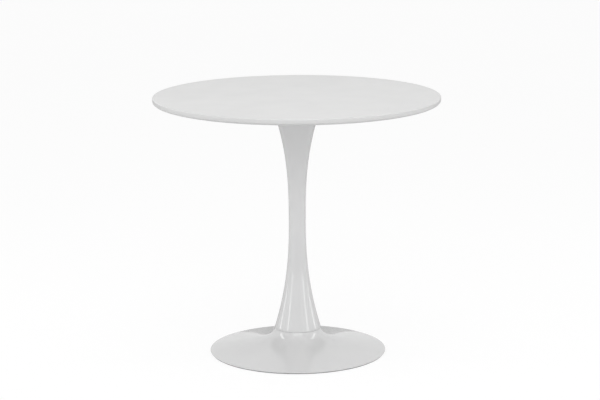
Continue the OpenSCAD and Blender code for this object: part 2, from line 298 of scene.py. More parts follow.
def make_column_tree():
    sizes = ["Foot radius", "Foot height", "Waist radius", "Waist height", "Top radius", "Top height",
             "Foot lean", "Top lean", "Wall", "Edge"]
    tree, get = new_tree("Column", "GeometryNodeTree",
                         [(s, FLOAT, 0.1) for s in sizes] + [("Curve steps", INT, 40), ("Steps", INT, 160),
                                                              ("Material", MATERIAL, None)],
                         [("Mesh", GEOMETRY)])
    foot_r, foot_z, waist_r, waist_z = (get[s] for s in sizes[:4])
    top_r, top_z, foot_lean, top_lean, wall, edge = (get[s] for s in sizes[4:])

    def point(r, z):
        return add(tree, "ShaderNodeCombineXYZ", {"X": r, "Z": z})

    def curve(start, start_handle, end_handle, end, steps):
        return add(tree, "GeometryNodeCurvePrimitiveBezierSegment", {
            "Start": point(*start), "Start Handle": point(*start_handle),
            "End Handle": point(*end_handle), "End": point(*end), "Resolution": steps}, mode="POSITION")

    low_h, up_h = waist_z - foot_z, top_z - waist_z
    foot_dir = foot_lean.math("SINE"), foot_lean.math("COSINE")
    top_dir = top_lean.math("SINE"), top_lean.math("COSINE")

    def lower(inset, lift):
        """From the foot up to the waist."""
        foot = foot_r - inset, foot_z + lift
        pull = low_h * LOWER_PULL[1]
        handle = foot[0] - foot_dir[0] * pull, foot[1] + foot_dir[1] * pull
        waist = waist_r - inset, waist_z
        return foot, handle, (waist[0], waist_z - low_h * LOWER_PULL[0]), waist

    def upper(inset):
        """From the waist up to the top."""
        top = top_r - inset, top_z
        pull = up_h * UPPER_PULL[1]
        handle = top[0] - top_dir[0] * pull, top_z - top_dir[1] * pull
        waist = waist_r - inset, waist_z
        return waist, (waist[0], waist_z + up_h * UPPER_PULL[0]), handle, top

    # The foot's outer edge is rounded, where the curve starts from the flat end
    flat_end = foot_r - edge, foot_z
    round_end = foot_r, foot_z + edge
    rounding = curve(flat_end, (foot_r - edge * (1 - QUARTER), foot_z),
                     (foot_r, foot_z + edge * (1 - QUARTER)), round_end, EDGE_STEPS)
    outside = [rounding, curve(*lower(0, edge), get["Curve steps"]), curve(*upper(0), get["Curve steps"])]
    inside = [curve(*reversed(upper(wall)), get["Curve steps"]),
              curve(*reversed(lower(wall, 0)), get["Curve steps"])]
    back_to_start = add(tree, "GeometryNodeCurvePrimitiveLine", {
        "Start": point(foot_r - wall, foot_z), "End": point(*flat_end)})
    join = tree.nodes.new("GeometryNodeJoinGeometry")
    for part in reversed([*outside, *inside, back_to_start]):
        plug(tree, join.inputs[0], part)
    result = lathe_nodes(tree, Flow(tree, join.outputs[0]), get["Steps"], get["Material"])
    finish_tree(tree, Mesh=result)
    return tree


column_tree = make_column_tree()
print("column tree:", len(column_tree.nodes), "nodes")

# %% [markdown]
# The frame gives the height of the column and its width at the top. The foot, the waist and the two leans,
# which are measured from the upright, are those of the engineering model.

# %% Column
FOOT_RADIUS = 65.5 * MM
WAIST_RADIUS = 23.75 * MM
WAIST_HEIGHT = 380 * MM
FOOT_LEAN = math.radians(17)
TOP_LEAN = math.radians(20.8)
SHEET = 2 * MM
SHEET_EDGE = 0.3 * MM    # how round the cut edge of the sheet is
CURVE_STEPS = 48
COLUMN_STEPS = 192
column_low, column_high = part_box("column_shell")
column = piece_from_tree(
    "column", column_tree,
    foot_radius=FOOT_RADIUS, foot_height=column_low.z, waist_radius=WAIST_RADIUS, waist_height=WAIST_HEIGHT,
    top_radius=column_high.x, top_height=column_high.z, foot_lean=FOOT_LEAN, top_lean=TOP_LEAN,
    wall=SHEET, edge=SHEET_EDGE, curve_steps=CURVE_STEPS, steps=COLUMN_STEPS,
    material=finish["gloss_powder_coat"])

# %% [markdown]
# ## Outlines for the other round pieces
#
# The base, the board, the trim and the cover have outlines with straight runs and rounded corners. These are
# easier to say in plain Python: a list of corners, each with a radius. `rounded` turns every corner into an
# arc. It also sets a support point just before and after each arc, so that smooth shading doesn't smear the
# arc's bend over the flat beside it.

# %% Outline helpers
ARC_STEPS = 7
SUPPORT = 0.35    # how far a support point stands off its arc, as a share of the arc's radius


def bezier(p0, p1, p2, p3, steps, offset=0.0):
    """Points on a cubic curve, each set off square to it by offset."""
    found = []
    for i in range(steps + 1):
        t = i / steps
        u = 1 - t
        point = u**3 * p0 + 3 * u * u * t * p1 + 3 * u * t * t * p2 + t**3 * p3
        along = (u * u * (p1 - p0) + 2 * u * t * (p2 - p1) + t * t * (p3 - p2)).normalized()
        found.append(point + offset * Vector((along.y, -along.x)))
    return found


def rounded(corners):
    """An outline from (radius from the axis, height, rounding) corners; a rounding of 0 keeps the corner."""
    points = []
    for i, (r, z, rounding) in enumerate(corners):
        corner = Vector((r, z))
        if not rounding or i in (0, len(corners) - 1):
            points.append(corner)
            continue
        to_last = (Vector(corners[i - 1][:2]) - corner).normalized()
        to_next = (Vector(corners[i + 1][:2]) - corner).normalized()
        half = to_last.angle(to_next) / 2
        reach = rounding / math.tan(half)
        centre = corner + (to_last + to_next).normalized() * (rounding / math.sin(half))
        start, end = corner + to_last * reach - centre, corner + to_next * reach - centre
        sweep = start.angle_signed(end)
        points.append(centre + start + to_last * rounding * SUPPORT)
        for k in range(ARC_STEPS + 1):
            points.append(centre + Matrix.Rotation(-sweep * k / ARC_STEPS, 2) @ start)
        points.append(centre + end + to_next * rounding * SUPPORT)
    return points


print("a rounded corner takes", ARC_STEPS + 3, "points")

# %% [markdown]
# A Geometry Nodes tree can't read a Python list, but it can read a curve object. So the outline becomes a
# poly curve that lives only until its piece is made.

# %% Turned-piece tree


def outline_object(name, points):
    """A poly curve in the XZ plane that a tree can read."""
    data = bpy.data.curves.new(name, "CURVE")
    data.dimensions = "3D"
    spline = data.splines.new("POLY")
    spline.points.add(len(points) - 1)
    for target, p in zip(spline.points, points):
        target.co = (p.x, 0, p.y, 1)
    return new_object(name, data)


def make_turned_tree():
    tree, get = new_tree("Turned piece", "GeometryNodeTree",
                         [("Outline", OBJECT, None), ("Steps", INT, 96), ("Material", MATERIAL, None)],
                         [("Mesh", GEOMETRY)])
    outline = add(tree, "GeometryNodeObjectInfo", {"Object": get["Outline"]}, out="Geometry")
    finish_tree(tree, Mesh=lathe_nodes(tree, outline, get["Steps"], get["Material"]))
    return tree


turned_tree = make_turned_tree()


def turned(name, points, steps, material):
    """A lathe piece from an outline that starts and ends at the same point or on the axis."""
    outline = outline_object(name + "_outline", points)
    piece = piece_from_tree(name, turned_tree, outline=outline, steps=steps, material=finish[material])
    bpy.data.objects.remove(outline)
    return piece


print("turned-piece tree:", len(turned_tree.nodes), "nodes")

# %% [markdown]
# ## The base
#
# The base starts at the neck with nearly the slope that the column ends with, so the eye runs over the seam
# between them. Then it turns out tightly, and from there it is a shallow cone down to the rim. The rim is the
# sheet folded back on itself, a hem, which gives it a soft nose. The underside follows the outside at one
# sheet's thickness.

# %% Base
base_low, base_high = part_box("base_shell")
trim_low, trim_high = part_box("floor_trim")
RIM_THICKNESS = 2.7 * MM
HEM_WIDTH = 9.5 * MM
NECK_PULL = 36 * MM
RIM_PULL = 136 * MM
NECK_LEAN = math.radians(21.5)
RIM_SLOPE = math.radians(10.5)
SKIN_STEPS = 64
BASE_STEPS = 224
HEM_CLEAR = 0.5 * MM     # the underside stops this far short of the fold
HEM_EDGE = 0.8 * MM
NOSE_FROM = 80           # the nose turns from here, in degrees above level,
NOSE_TURN = 170          # by so many degrees,
NOSE_STEPS = 12          # in so many steps

rim_radius, neck_top = base_high.x, base_high.z
nose = RIM_THICKNESS / 2
hem_radius = rim_radius - HEM_WIDTH
rim_end = Vector((rim_radius - nose, base_low.z + RIM_THICKNESS))
neck_end = Vector((FOOT_RADIUS, neck_top))
sweep = (neck_end, neck_end + NECK_PULL * Vector((math.sin(NECK_LEAN), -math.cos(NECK_LEAN))),
         rim_end + RIM_PULL * Vector((-math.cos(RIM_SLOPE), math.sin(RIM_SLOPE))), rim_end)
outer_skin = bezier(*sweep, SKIN_STEPS)
inner_skin = [p for p in bezier(*sweep, SKIN_STEPS, offset=SHEET) if p.x < hem_radius - HEM_CLEAR]
hem_fold_z = inner_skin[-1].y
nose_centre = Vector((rim_radius - nose, base_low.z + nose))
nose_arc = [nose_centre + nose * Vector((math.cos(a), math.sin(a)))
            for a in (math.radians(NOSE_FROM - NOSE_TURN * k / NOSE_STEPS) for k in range(NOSE_STEPS + 1))]
neck_edge = rounded([(inner_skin[0].x, inner_skin[0].y, 0), (inner_skin[0].x, neck_top, SHEET_EDGE),
                     (neck_end.x, neck_top, SHEET_EDGE), (outer_skin[1].x, outer_skin[1].y, 0)])
hem = rounded([(nose_arc[-1].x, nose_arc[-1].y, 0), (hem_radius, base_low.z, HEM_EDGE),
               (hem_radius, hem_fold_z, 0)])
base_outline = neck_edge + outer_skin[2:] + nose_arc + hem[1:] + inner_skin[::-1]
base = turned("base", base_outline, BASE_STEPS, "gloss_powder_coat")

# %% [markdown]
# ## The trim under the rim
#
# The steel never touches the floor. A soft ring sits between them, set in a little, which is why the base
# seems to float on a thin dark line.

# %% Trim
TRIM_IN = 2.5 * MM
TRIM_LIP = 2.5 * MM
TRIM_FOOT_ROUND = 0.7 * MM
TRIM_SHOULDER_ROUND = 0.2 * MM
TRIM_LIP_ROUND = 0.3 * MM
TRIM_STEPS = 192
trim_outer, trim_inner = rim_radius - TRIM_IN, hem_radius - TRIM_LIP
trim_start = ((trim_outer + trim_inner) / 2, trim_low.z, 0)
trim_corners = [
    trim_start, (trim_outer, trim_low.z, TRIM_FOOT_ROUND), (trim_outer, base_low.z, TRIM_SHOULDER_ROUND),
    (hem_radius, base_low.z, 0), (hem_radius, trim_high.z, TRIM_LIP_ROUND),
    (trim_inner, trim_high.z, TRIM_LIP_ROUND), (trim_inner, trim_low.z, TRIM_FOOT_ROUND), trim_start]
trim = turned("trim", rounded(trim_corners), TRIM_STEPS, "soft_clear_trim")

# %% [markdown]
# ## The board
#
# The board is fibreboard, shaped with a router. Its upper edge has a small round, then the edge drops
# straight, and underneath it sweeps in, a quarter of an oval, so the top looks thinner than it is.

# %% Board
board_low, board_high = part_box("tabletop")
TOP_EDGE_ROUND = 3 * MM
EDGE_DROP = 9 * MM
UNDER_SWEEP = 16 * MM
SWEEP_STEPS = 16
BOARD_STEPS = 256
BOARD_RINGS = (0.1, 0.2)    # rings of points on the flat faces, which keep the faces from being long slivers
SWEEP_MARGIN = 2 * MM       # one more ring, just inside the sweep, so that its shading stays off the flat
board_radius = board_high.x
edge_bottom = board_high.z - EDGE_DROP
under_start = board_radius - UNDER_SWEEP
under_sweep = [Vector((under_start + UNDER_SWEEP * math.sin(a),
                       board_low.z + (edge_bottom - board_low.z) * (1 - math.cos(a))))
               for a in (math.pi / 2 * k / SWEEP_STEPS for k in range(SWEEP_STEPS + 1))]
under_flat = [Vector((r, board_low.z)) for r in (0, BOARD_RINGS[0], under_start - SWEEP_MARGIN)]
top_edge = rounded([(board_radius, edge_bottom, 0), (board_radius, board_high.z, TOP_EDGE_ROUND),
                    (BOARD_RINGS[1], board_high.z, 0)])
top_flat = [Vector((r, board_high.z)) for r in (BOARD_RINGS[0], 0)]
board = turned("board", under_flat + under_sweep + top_edge[1:] + top_flat, BOARD_STEPS, "satin_lacquer")

# %% [markdown]
# ## The cover
#
# Under the base, a moulded plastic ring hides the weight. It has a rolled bead at both edges, and shallow
# stiffening rings between them, as a moulding this wide needs.

# %% Cover
cover_low, cover_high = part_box("bottom_cover")
COVER_HOLE = 62 * MM
BEAD_WIDTH = 2.4 * MM
BEAD_DROP = 0.6 * MM
BEAD_ROUND = 0.4 * MM
GROOVE_MOUTH = 2 * MM       # half the width of a stiffening ring where it leaves the face
GROOVE_FLOOR = 1.4 * MM     # and half its width where it is deepest
SMALL_ROUND = 0.3 * MM      # on the grooves and on the upper outer corner
GROOVES = (1, 2, 4)         # in fifths of the way from the outer edge to the hole
COVER_STEPS = 160
cover_face = cover_low.z + BEAD_DROP
cover_radius = cover_high.x


def cover_outline():
    bead_end = COVER_HOLE + BEAD_WIDTH
    corners = [(COVER_HOLE, cover_high.z, 0), (COVER_HOLE, cover_low.z, BEAD_ROUND),
               (bead_end, cover_low.z, BEAD_ROUND), (bead_end + BEAD_DROP, cover_face, 0)]
    groove_at = [cover_radius - (cover_radius - COVER_HOLE) * k / 5 for k in GROOVES]
    for r in sorted(groove_at):
        corners += [(r - GROOVE_MOUTH, cover_face, SMALL_ROUND),
                    (r - GROOVE_FLOOR, cover_face + BEAD_DROP, SMALL_ROUND),
                    (r + GROOVE_FLOOR, cover_face + BEAD_DROP, SMALL_ROUND),
                    (r + GROOVE_MOUTH, cover_face, SMALL_ROUND)]
    corners += [(cover_radius - BEAD_WIDTH - BEAD_DROP, cover_face, 0),
                (cover_radius - BEAD_WIDTH, cover_low.z, BEAD_ROUND), (cover_radius, cover_low.z, BEAD_ROUND),
                (cover_radius, cover_high.z, SMALL_ROUND), (COVER_HOLE, cover_high.z, 0)]
    return rounded(corners)


cover = turned("cover", cover_outline(), COVER_STEPS, "moulded_black_plastic")

# %% [markdown]
# ## Screws and bolts
#
# A screw is drawn once, with its head hanging below height 0 and its shank rising above, because every
# screw here is driven from underneath. The head is a lathe piece. The cross in it is cut with a Boolean, from
# a star-shaped punch that narrows as it goes in, as the real one does, so the cross has sloping sides.

# %% Punch and Boolean
CROSS_ARM = 0.2       # half the width of an arm of the cross, as a share of its length
CROSS_FLOOR = 0.45    # how wide the cross still is at its floor, as a share of its mouth


def cross_punch(name, reach, mouth_z, floor_z):
    """A four-armed star prism: full size at the mouth and under half that at its floor."""
    arm = reach * CROSS_ARM
    quarter = [(reach, -arm), (reach, arm), (arm, arm)]
    star = [Matrix.Rotation(math.pi / 2 * k, 2) @ Vector(p) for k in range(4) for p in quarter]
    work = bmesh.new()
    rings = [[work.verts.new((p.x * size, p.y * size, z)) for p in star]
             for z, size in ((mouth_z, 1.0), (floor_z, CROSS_FLOOR))]
    work.faces.new(rings[0])
    work.faces.new(rings[1])
    for i in range(len(star)):
        k = (i + 1) % len(star)
        work.faces.new((rings[0][i], rings[0][k], rings[1][k], rings[1][i]))
    bmesh.ops.recalc_face_normals(work, faces=work.faces)
    mesh = bpy.data.meshes.new(name)
    work.to_mesh(mesh)
    work.free()
    return new_object(name, mesh)


def combine(piece, tool, operation):
    """Cuts or joins two solids and keeps the result in piece."""
    modifier = piece.modifiers.new("combine", "BOOLEAN")
    modifier.object, modifier.operation, modifier.solver = tool, operation, "EXACT"
    graph = bpy.context.evaluated_depsgraph_get()
    mesh = bpy.data.meshes.new_from_object(piece.evaluated_get(graph), depsgraph=graph)
    piece.modifiers.clear()
    piece.data = mesh
    bpy.data.objects.remove(tool)
    open_edges = tidy_normals(mesh)
    print(f"{piece.name}: {len(mesh.polygons)} faces after {operation.lower()}, {open_edges} open edges")


print("the cross narrows to", CROSS_FLOOR, "of its width")

# %% [markdown]
# ### One of each fastener
#
# A big screw and a small one of the same kind have the same proportions. So the roundings and the cross are
# given as shares of the sizes beside them, once, and each fastener only brings its own sizes.

# %% One of each fastener
BOLT_STEPS = 40
WASHER_STEPS = 48
TIP_ROUND = 0.18        # roundings, as a share of the radius beside them: at the end of a thread,
SEAT_ROUND = 0.1        # between the thread and the head,
RIM_ROUND = 0.06        # at the rim that the head bears on,
CROWN_ROUND = 0.4       # and where the side of a pan head turns into its face
WASHER_ROUND = 0.15     # the same for a washer, as a share of its thickness
CROSS_REACH = 0.47      # length of an arm of the cross, as a share of the thread
CROSS_MOUTH = 1.02      # where the punch starts, just outside the head, as a share of its height
CROSS_DEPTH = 0.4       # where the punch ends, the same way
FACE_WIDTH = 0.96       # width of the round face of a bolt's head, as a share of its flats
CHAMFER_SLOPE = 0.6     # height of the chamfer, as a share of its width
BAR_CLEAR = 1.01        # the lathe's blank is this much wider than the corners of the hexagonal bar


def pan_screw(name, thread, head_width, head_height, length):
    r, head_r = thread / 2, head_width / 2
    screw = turned(name, rounded([
        (0, length, 0), (r, length, TIP_ROUND * r), (r, 0, SEAT_ROUND * r), (head_r, 0, RIM_ROUND * head_r),
        (head_r, -head_height, CROWN_ROUND * head_r), (0, -head_height, 0)]), BOLT_STEPS, "zinc_plate")
    punch = cross_punch(name + "_punch", CROSS_REACH * thread, -CROSS_MOUTH * head_height,
                        -CROSS_DEPTH * head_height)
    combine(screw, punch, "DIFFERENCE")
    return screw


def hexagon_bolt(name, thread, flats, head_height, length):
    """The head is a hexagonal bar whose corners were turned off on a lathe."""
    corner_r = flats / 2 / math.cos(math.pi / 6)
    face_r = flats / 2 * FACE_WIDTH
    chamfer = corner_r - face_r
    bolt = turned(name, [Vector(p) for p in (
        (0, 0), (corner_r * BAR_CLEAR, 0), (corner_r * BAR_CLEAR, -head_height + chamfer * CHAMFER_SLOPE),
        (face_r, -head_height), (0, -head_height))], BOLT_STEPS, "zinc_plate")
    work = bmesh.new()
    bmesh.ops.create_cone(work, cap_ends=True, segments=6, radius1=corner_r, radius2=corner_r,
                          depth=3 * head_height)
    bar_mesh = bpy.data.meshes.new(name + "_bar")
    work.to_mesh(bar_mesh)
    work.free()
    combine(bolt, new_object(name + "_bar", bar_mesh), "INTERSECT")
    shank = turned(name + "_shank", rounded([
        (0, length, 0), (thread / 2, length, TIP_ROUND * thread / 2), (thread / 2, -head_height / 2, 0),
        (0, -head_height / 2, 0)]), BOLT_STEPS, "zinc_plate")
    combine(bolt, shank, "UNION")
    return bolt


def flat_washer(name, outer, hole, thickness):
    soft = WASHER_ROUND * thickness
    corners = [(hole / 2, thickness / 2, 0), (hole / 2, thickness, soft), (outer / 2, thickness, soft),
               (outer / 2, 0, 2 * soft), (hole / 2, 0, soft), (hole / 2, thickness / 2, 0)]
    return turned(name, rounded(corners), WASHER_STEPS, "zinc_plate")


one_board_screw = pan_screw("one_board_screw", thread=6 * MM, head_width=12 * MM, head_height=3.6 * MM,
                            length=16 * MM)
one_cover_screw = pan_screw("one_cover_screw", thread=4 * MM, head_width=8 * MM, head_height=2.2 * MM,
                            length=8 * MM)
one_neck_bolt = hexagon_bolt("one_neck_bolt", thread=8 * MM, flats=13 * MM, head_height=5.3 * MM,
                             length=25 * MM)
one_board_washer = flat_washer("one_board_washer", outer=12 * MM, hole=6.4 * MM, thickness=1.6 * MM)
one_neck_washer = flat_washer("one_neck_washer", outer=16 * MM, hole=8.4 * MM, thickness=1.6 * MM)

# %% [markdown]
# ## Rings of fasteners
#
# Fasteners sit on pitch circles, evenly spaced, but nobody lines up the crosses of the screws. A tree puts
# one copy on each point of a circle and turns each by its own seeded angle. It ends by making the copies
# real, because an exported file keeps no instances.

# %% Ring-of-fasteners tree


def make_ring_tree():
    tree, get = new_tree("Ring of fasteners", "GeometryNodeTree", [
        ("Fastener", OBJECT, None), ("Count", INT, 4), ("Pitch radius", FLOAT, 0.1), ("Height", FLOAT, 0.0),
        ("First angle", FLOAT, 0.0), ("Seed", INT, 1), ("Material", MATERIAL, None)], [("Mesh", GEOMETRY)])
    circle = add(tree, "GeometryNodeMeshCircle", {"Vertices": get["Count"], "Radius": get["Pitch radius"]})
    one = add(tree, "GeometryNodeObjectInfo", {"Object": get["Fastener"]}, out="Geometry")
    twist = tree.nodes.new("FunctionNodeRandomValue")
    twist.data_type = "FLOAT"
    by_label = {s.identifier: s for s in twist.inputs}
    by_label["Max_001"].default_value = math.tau
    plug(tree, by_label["Seed"], get["Seed"])
    value = next(s for s in twist.outputs if s.identifier == "Value_001")
    turn_each = add(tree, "ShaderNodeCombineXYZ", {"Z": Flow(tree, value)})
    copies = add(tree, "GeometryNodeInstanceOnPoints",
                 {"Points": circle, "Instance": one, "Rotation": turn_each})
    placed = add(tree, "GeometryNodeTransform", {
        "Geometry": copies, "Translation": add(tree, "ShaderNodeCombineXYZ", {"Z": get["Height"]}),
        "Rotation": add(tree, "ShaderNodeCombineXYZ", {"Z": get["First angle"]})})
    real = add(tree, "GeometryNodeRealizeInstances", {"Geometry": placed})
    finish_tree(tree, Mesh=add(tree, "GeometryNodeSetMaterial",
                               {"Geometry": real, "Material": get["Material"]}))
    return tree


ring_tree = make_ring_tree()
print("ring tree:", len(ring_tree.nodes), "nodes")

# %% [markdown]
# Screws are set in from the edge of the piece that they go into, so two of the pitch circles follow the size
# of the plate and of the weight. A ring's height is the face that its heads bear on, or the underside of its
# washers. The engineering solids are there to compare with, so each ring prints how far off its corners are.

# %% Rings of fasteners
PLATE_MARGIN = 18 * MM      # from a screw's axis to the edge of the plate
WEIGHT_MARGIN = 24 * MM     # from a cover screw's axis to the edge of the weight
NECK_PITCH = 42 * MM
COVER_SCREW_TURN = math.radians(15)


def fastener_ring(name, node, one, count, pitch_radius, height, seed, first_angle=0.0):
    ring = piece_from_tree(
        name, ring_tree, fastener=one, count=count, pitch_radius=pitch_radius, height=height,
        first_angle=first_angle, seed=seed, material=finish["zinc_plate"])
    corners = list(ring.bound_box)
    lowest_and_highest = corners[0], corners[6]
    off = max((Vector(mine) - Vector(theirs)).length
              for mine, theirs in zip(lowest_and_highest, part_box(node)))
    print(f"   its corners are within {off / MM:.2f} mm of the CAD's")
    return ring


def underside(node):
    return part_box(node)[0].z


board_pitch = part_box("mounting_plate")[1].x - PLATE_MARGIN
cover_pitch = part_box("weight_ring")[1].x - WEIGHT_MARGIN
board_screws = fastener_ring(
    "board_screw_set", "board_screws", one_board_screw, count=8, pitch_radius=board_pitch,
    height=underside("board_screw_washers"), seed=3)
board_washers = fastener_ring(
    "board_washer_set", "board_screw_washers", one_board_washer, count=8, pitch_radius=board_pitch,
    height=underside("board_screw_washers"), seed=5)
neck_bolts = fastener_ring(
    "neck_bolt_set", "neck_bolts", one_neck_bolt, count=4, pitch_radius=NECK_PITCH,
    height=underside("neck_spring_washers"), seed=8)
neck_washers = fastener_ring(
    "neck_washer_set", "neck_flat_washers", one_neck_washer, count=4, pitch_radius=NECK_PITCH,
    height=underside("neck_flat_washers"), seed=2)
cover_screws = fastener_ring(
    "cover_screw_set", "cover_screws", one_cover_screw, count=6, pitch_radius=cover_pitch,
    height=cover_face, seed=6, first_angle=COVER_SCREW_TURN)
for one in (one_board_screw, one_cover_screw, one_neck_bolt, one_board_washer, one_neck_washer):
    bpy.data.objects.remove(one)

# %% [markdown]
# ## Effects that several finishes share
#
# A finish is what light does on the last tenth of a millimetre. Sprayed coats level out, but not wholly:
# they keep a faint dimpled skin that painters call orange peel. Turned and spun metal keeps rings. Everything
# that is touched gets hairline scratches, and no surface has exactly one colour or one gloss all over. Each
# of these is one node group, with named inputs, that every material uses with its own values.

# %% Noise, orange peel and drift
SHADER = "ShaderNodeTree"
NOISE_RANGE = (0.3, 0.7)    # nearly all values of a noise lie between these


def coordinates(tree):
    return add(tree, "ShaderNodeTexCoord", out="Object")


def noise(tree, scale, detail=2.0, roughness=0.5, vector=None):
    return add(tree, "ShaderNodeTexNoise", {
        "Vector": vector or coordinates(tree), "Scale": scale, "Detail": detail, "Roughness": roughness})


def spread(tree, value, low, high, to_low=0.0, to_high=1.0):
    """Maps low..high to to_low..to_high, smoothly, and holds the ends."""
    return add(tree, "ShaderNodeMapRange", {
        "Value": value, "From Min": low, "From Max": high, "To Min": to_low, "To Max": to_high},
        interpolation_type="SMOOTHSTEP")


def make_orange_peel():
    tree, get = new_tree("Orange peel", SHADER, [("Scale", FLOAT, 300.0), ("Grit", FLOAT, 0.2)],
                         [("Height", FLOAT)])
    dimples = noise(tree, get["Scale"], detail=1.0, roughness=0.4)
    swells = noise(tree, get["Scale"] * 0.22, detail=1.0, roughness=0.4)
    grit = noise(tree, get["Scale"] * 6.0, detail=2.0, roughness=0.6)
    finish_tree(tree, Height=dimples * 0.6 + swells * 0.4 + grit * get["Grit"])
    return tree


def make_drift():
    tree, get = new_tree("Drift", SHADER, [
        ("Scale", FLOAT, 6.0), ("Low", FLOAT, 0.0), ("High", FLOAT, 1.0)], [("Value", FLOAT)])
    cloud = noise(tree, get["Scale"], detail=3.0, roughness=0.55)
    finish_tree(tree, Value=spread(tree, cloud, *NOISE_RANGE, get["Low"], get["High"]))
    return tree


orange_peel, drift = make_orange_peel(), make_drift()
print("effects:", orange_peel.name, "and", drift.name)

# %% [markdown]
# ### Rings and scratches
#
# A lathe leaves rings at even steps of radius or height, so that effect first finds how far a point is from
# the upright axis. The hairlines are the borders between the cells of three Voronoi patterns, stretched until
# they are nearly straight, and shown only in some places.

# %% Rings and hairlines
RING_GRAIN = 1.7      # how much finer the grain is than the rings
LAYERS = ((0.4, 0.06), (1.7, 0.08), (2.6, 0.05))    # direction in radians, and width over length


def make_round_place():
    """How far a point is from the upright axis, and how high it is."""
    tree, _ = new_tree("Round place", SHADER, [], [("Radius", FLOAT), ("Height", FLOAT)])
    parts = tree.nodes.new("ShaderNodeSeparateXYZ")
    plug(tree, parts.inputs[0], coordinates(tree))
    x, y, z = (Flow(tree, parts.outputs[k]) for k in range(3))
    finish_tree(tree, Radius=(x * x + y * y).math("SQRT"), Height=z)
    return tree


def make_rings():
    tree, get = new_tree("Turning rings", SHADER, [("Spacing", FLOAT, 0.001), ("Waver", FLOAT, 0.3)],
                         [("Height", FLOAT)])
    place = tree.nodes.new("ShaderNodeGroup")
    place.node_tree = round_place
    radius = Flow(tree, place.outputs["Radius"])
    height = Flow(tree, place.outputs["Height"])
    waver = noise(tree, 40.0) * get["Waver"]
    phase = (radius + height) / get["Spacing"] * math.tau + waver * math.tau
    across = add(tree, "ShaderNodeCombineXYZ", {
        "X": radius / get["Spacing"] * RING_GRAIN, "Y": height / get["Spacing"] * RING_GRAIN})
    fine = noise(tree, 1.0, detail=3.0, roughness=0.7, vector=across)
    finish_tree(tree, Height=phase.math("SINE") * 0.25 + fine * 0.75)
    return tree


def make_hairlines():
    tree, get = new_tree("Hairlines", SHADER, [
        ("Scale", FLOAT, 30.0), ("Width", FLOAT, 0.02), ("Amount", FLOAT, 0.5)], [("Mask", FLOAT)])
    layers = []
    for k, (angle, stretch) in enumerate(LAYERS):
        turned_to = add(tree, "ShaderNodeMapping", {
            "Vector": coordinates(tree), "Location": (0.31 * k, 0.17 * k, 0.23 * k),
            "Rotation": (0.3 * k, 0.2, angle), "Scale": (1.0, stretch, 1.0)}, out="Vector")
        edge = add(tree, "ShaderNodeTexVoronoi", {"Vector": turned_to, "Scale": get["Scale"]},
                   feature="DISTANCE_TO_EDGE", out="Distance")
        layers.append(spread(tree, edge, 0.0, get["Width"], 1.0, 0.0))
    where = spread(tree, noise(tree, get["Scale"] * 0.6), 0.5, 0.72)
    finish_tree(tree, Mask=(layers[0].math("MAXIMUM", layers[1]).math("MAXIMUM", layers[2])
                            * where * get["Amount"]))
    return tree


round_place = make_round_place()
rings, hairlines = make_rings(), make_hairlines()
print("effects:", ", ".join(g.name for g in (round_place, rings, hairlines)))

# %% [markdown]
# ## The finishes
#
# Every finish below is one Principled shader. The groups drive its colour, roughness and bump. Numbers that
# are the same all over, such as how strong the clear coat is, are set on the shader itself.

# %% Helpers for finishes


def start_finish(name, **settings):
    """Clears the material and gives it one Principled shader with these fixed values."""
    material = finish[name]
    material.use_nodes = True
    tree = material.node_tree
    tree.nodes.clear()
    shader = tree.nodes.new("ShaderNodeBsdfPrincipled")
    output = tree.nodes.new("ShaderNodeOutputMaterial")
    tree.links.new(shader.outputs[0], output.inputs[0])
    for label, value in settings.items():
        shader.inputs[label.replace("_", " ")].default_value = value
    return tree, shader


def effect(tree, group, out=0, **values):
    """Places an effect group in a material with its own values."""
    node = tree.nodes.new("ShaderNodeGroup")
    node.node_tree = group
    for label, value in values.items():
        plug(tree, node.inputs[label.capitalize()], value)
    return Flow(tree, node.outputs[out])


def colour_between(tree, factor, low, high):
    mix = tree.nodes.new("ShaderNodeMix")
    mix.data_type = "RGBA"
    mix.inputs[6].default_value = (*low, 1)
    mix.inputs[7].default_value = (*high, 1)
    plug(tree, mix.inputs[0], factor)
    return Flow(tree, mix.outputs[2])


def bump(tree, height, depth):
    """Turns a height pattern into a normal; depth is how deep its full range goes, in metres."""
    return add(tree, "ShaderNodeBump", {"Height": height, "Distance": depth, "Strength": 1.0})


def wire(shader, tree, **links):
    for label, value in links.items():
        plug(tree, shader.inputs[label.replace("_", " ")], value)


def count_nodes(*names):
    print("nodes:", {name: len(finish[name].node_tree.nodes) for name in names})


print("finish helpers ready for", len(finish), "finishes")

# %% [markdown]
# ### White coats
#
# The column and the base wear a glossy powder coat: baked on, thick, a little dimpled, with a sharp
# reflection. The board wears a satin lacquer, rolled flat and rubbed down, so it only reflects softly, and
# its underside got fewer coats and less rubbing than its face.

# %% Gloss powder coat
COAT_WHITE = (0.80, 0.80, 0.80)
COAT_SHADE = (0.775, 0.776, 0.778)


def gloss_powder_coat():
    tree, shader = start_finish("gloss_powder_coat", Coat_Weight=1.0, Coat_Roughness=0.03,
                                Coat_IOR=1.5, Specular_IOR_Level=0.3)
    shade = effect(tree, drift, scale=5.0, low=0.0, high=1.0)
    haze = effect(tree, drift, scale=21.0, low=0.09, high=0.13)
    scratches = effect(tree, hairlines, scale=26.0, width=0.012, amount=0.4)
    peel = effect(tree, orange_peel, scale=110.0, grit=0.03)
    skin = bump(tree, peel - scratches * 0.3, depth=0.006 * MM)
    wire(shader, tree, Base_Color=colour_between(tree, shade, COAT_SHADE, COAT_WHITE),
         Roughness=haze + scratches * 0.25, Normal=skin)


gloss_powder_coat()
count_nodes("gloss_powder_coat")

# %% Satin lacquer
LACQUER_WHITE = (0.79, 0.79, 0.785)
LACQUER_SHADE = (0.77, 0.77, 0.767)
UNDERSIDE_ROUGHER = 0.18
UNDERSIDE_ENDS = (1 * MM, 4 * MM)    # it fades out between these heights above the lowest point


